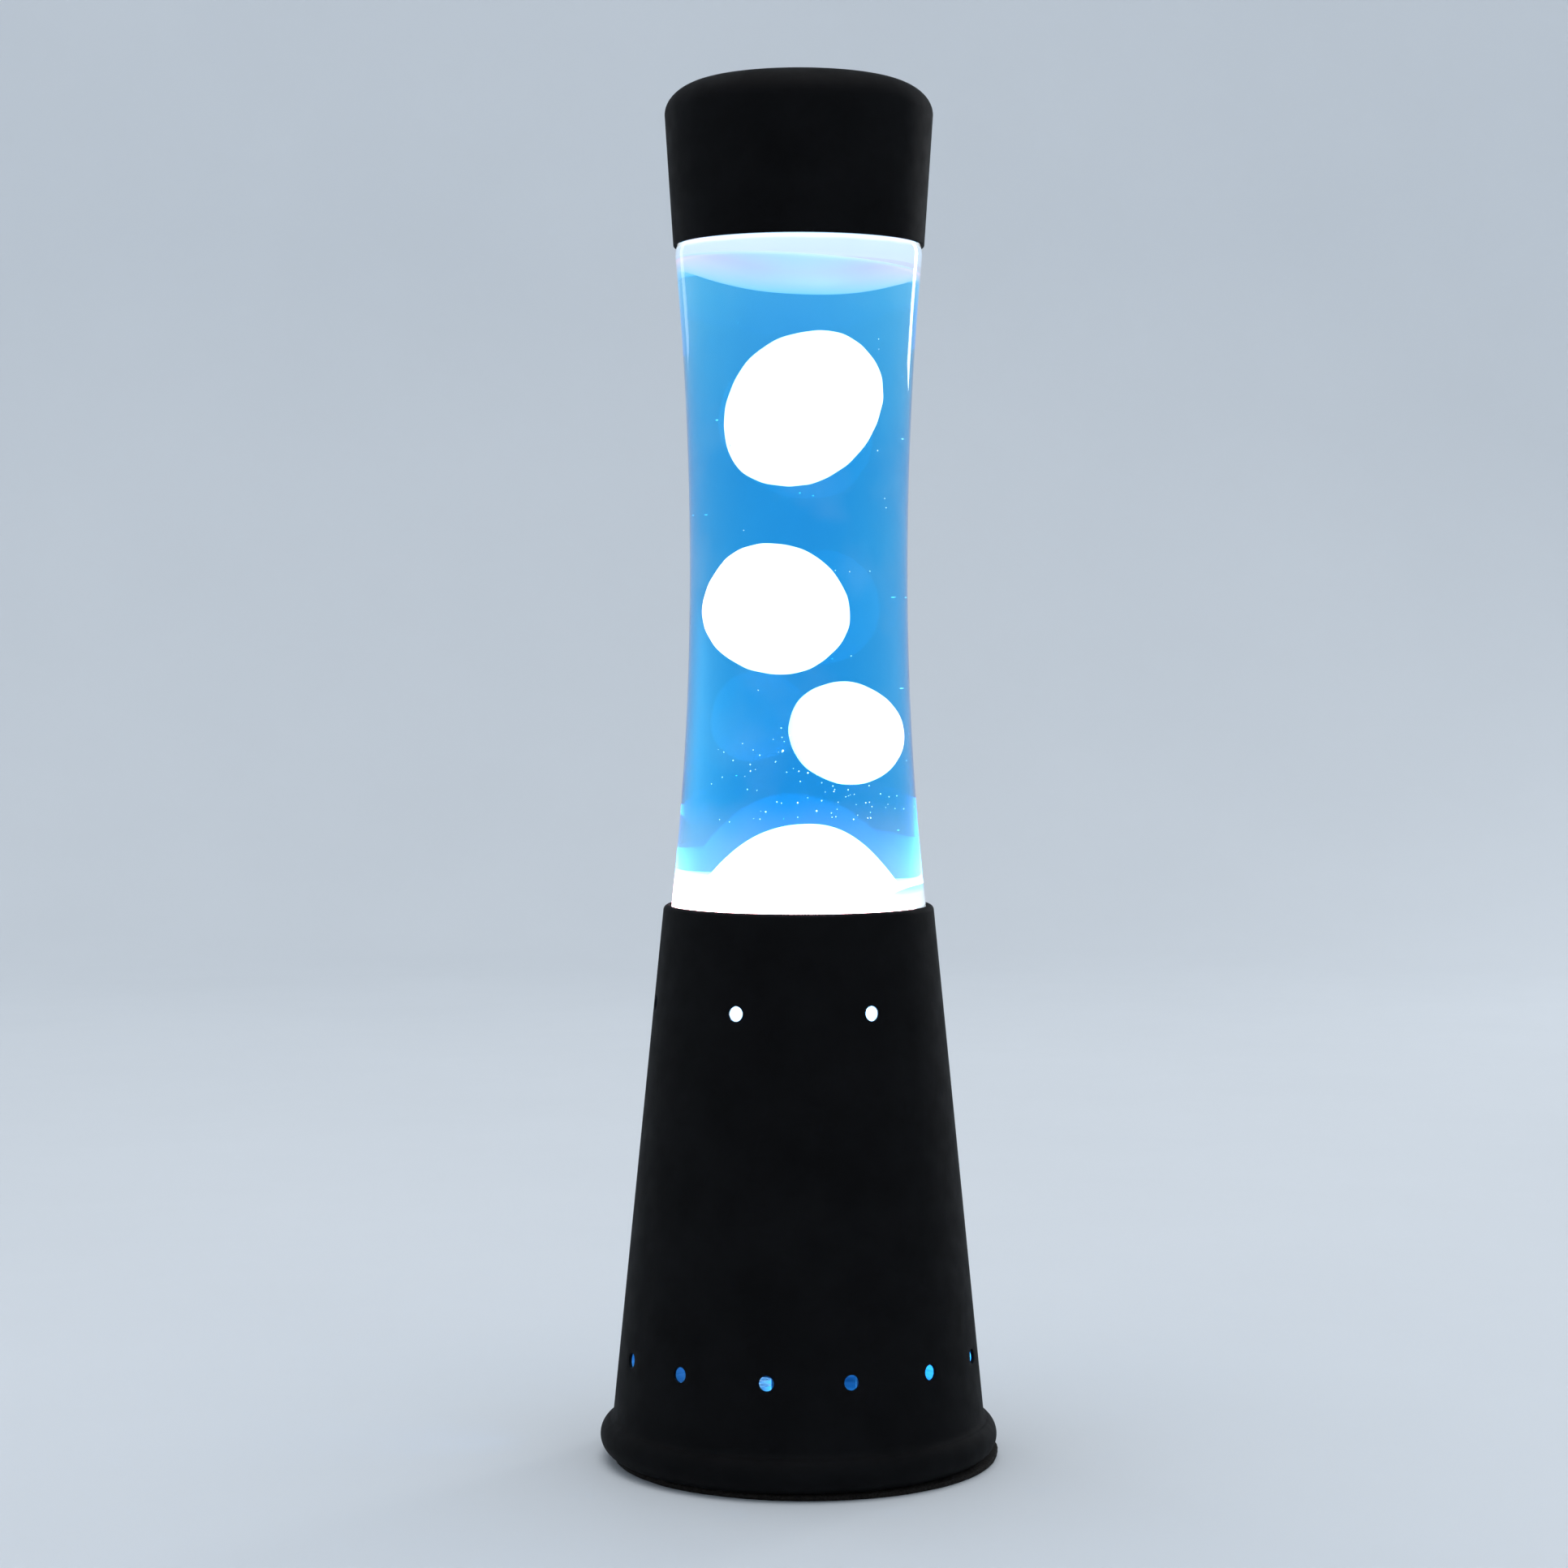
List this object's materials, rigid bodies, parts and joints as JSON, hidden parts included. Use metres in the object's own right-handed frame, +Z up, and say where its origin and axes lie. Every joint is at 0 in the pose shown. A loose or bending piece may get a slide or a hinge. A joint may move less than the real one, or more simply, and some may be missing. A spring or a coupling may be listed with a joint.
{
  "type": "lava lamp",
  "caption": "Desk lava lamp: conical spun base with vents, waisted glass bottle of blue liquid and rising white wax, rounded cap, and a screw-in reflector bulb below the bottle.",
  "frame": {"origin": "lamp axis at the floor, centre of the underside", "axes": "+Z up along the lamp axis, -Y towards the front, cord inlet at +Y"},
  "size_m": [0.1162, 0.1162, 0.4],
  "materials": {
    "powder_coat_black": "matte black powder coat",
    "foam_black": "open black foam",
    "plate_steel": "zinc plated sheet",
    "screw_steel": "zinc plated",
    "rubber_black": "matte black rubber",
    "phenolic_black": "moulded black phenolic",
    "brass": "stamped brass",
    "terminal_white": "moulded off-white nylon",
    "lead_brown": "brown wire insulation",
    "lead_blue": "blue wire insulation",
    "lead_green_yellow": "green and yellow wire insulation",
    "bulb_glass": "frosted reflector bulb, lit",
    "bulb_cap_metal": "pressed bulb cap",
    "filament": "glowing tungsten",
    "bottle_glass": "clear polished glass",
    "crown_tin": "tin plated crown",
    "liner_white": "soft liner",
    "liquid_blue": "clear azure liquid",
    "wax_white": "glowing white wax"
  },
  "bodies": {
    "base": {"base_shell": "powder_coat_black", "foot_pad": "foam_black", "bottom_plate": "plate_steel", "plate_screws": "screw_steel", "plate_nuts": "screw_steel", "bottle_seat": "plate_steel", "seat_gasket": "rubber_black", "cord_grommet": "rubber_black", "holder_bracket": "plate_steel", "bracket_rivets": "screw_steel", "holder_body": "phenolic_black", "holder_screw_shell": "brass", "holder_centre_contact": "brass", "holder_nipple": "screw_steel", "holder_nut": "screw_steel", "terminal_block": "terminal_white", "terminal_tubes": "brass", "terminal_screws": "screw_steel", "block_screws": "screw_steel", "lead_live": "lead_brown", "lead_neutral": "lead_blue", "lead_earth": "lead_green_yellow", "earth_tag": "screw_steel", "earth_screw": "brass"},
    "bulb": {"bulb_envelope": "bulb_glass", "bulb_screw_cap": "bulb_cap_metal", "bulb_insulator": "phenolic_black", "bulb_contact": "bulb_cap_metal", "bulb_stem": "bulb_glass", "bulb_support_wires": "screw_steel", "bulb_filament": "filament"},
    "bottle": {"glass_bottle": "bottle_glass", "crown_cap": "crown_tin", "crown_liner": "liner_white", "liquid": "liquid_blue", "wax_pool": "wax_white", "wax_coil": "screw_steel"},
    "wax_top": {"wax_drop_top": "wax_white"},
    "wax_middle": {"wax_drop_middle": "wax_white"},
    "wax_low": {"wax_drop_low": "wax_white"},
    "cap": {"top_cap": "powder_coat_black", "cap_pad": "foam_black"}
  },
  "joints": [
    {"name": "bottle_lift", "type": "slide", "parent": "base", "child": "bottle", "axis": [0, 0, 1], "range_m": [0, 0.06]},
    {"name": "cap_lift", "type": "slide", "parent": "bottle", "child": "cap", "axis": [0, 0, 1], "range_m": [0, 0.06]},
    {"name": "bulb_unscrew", "type": "hinge", "parent": "base", "child": "bulb", "pos_m": [0, 0, 0.07], "axis": [0, 0, 1], "range_deg": [0, 1440]},
    {"name": "wax_top_rise", "type": "slide", "parent": "bottle", "child": "wax_top", "axis": [0, 0, 1], "range_m": [-0.006, 0.008]},
    {"name": "wax_middle_rise", "type": "slide", "parent": "bottle", "child": "wax_middle", "axis": [0, 0, 1], "range_m": [-0.003, 0.008]},
    {"name": "wax_low_rise", "type": "slide", "parent": "bottle", "child": "wax_low", "axis": [0, 0, 1], "range_m": [-0.008, 0.003]}
  ]
}
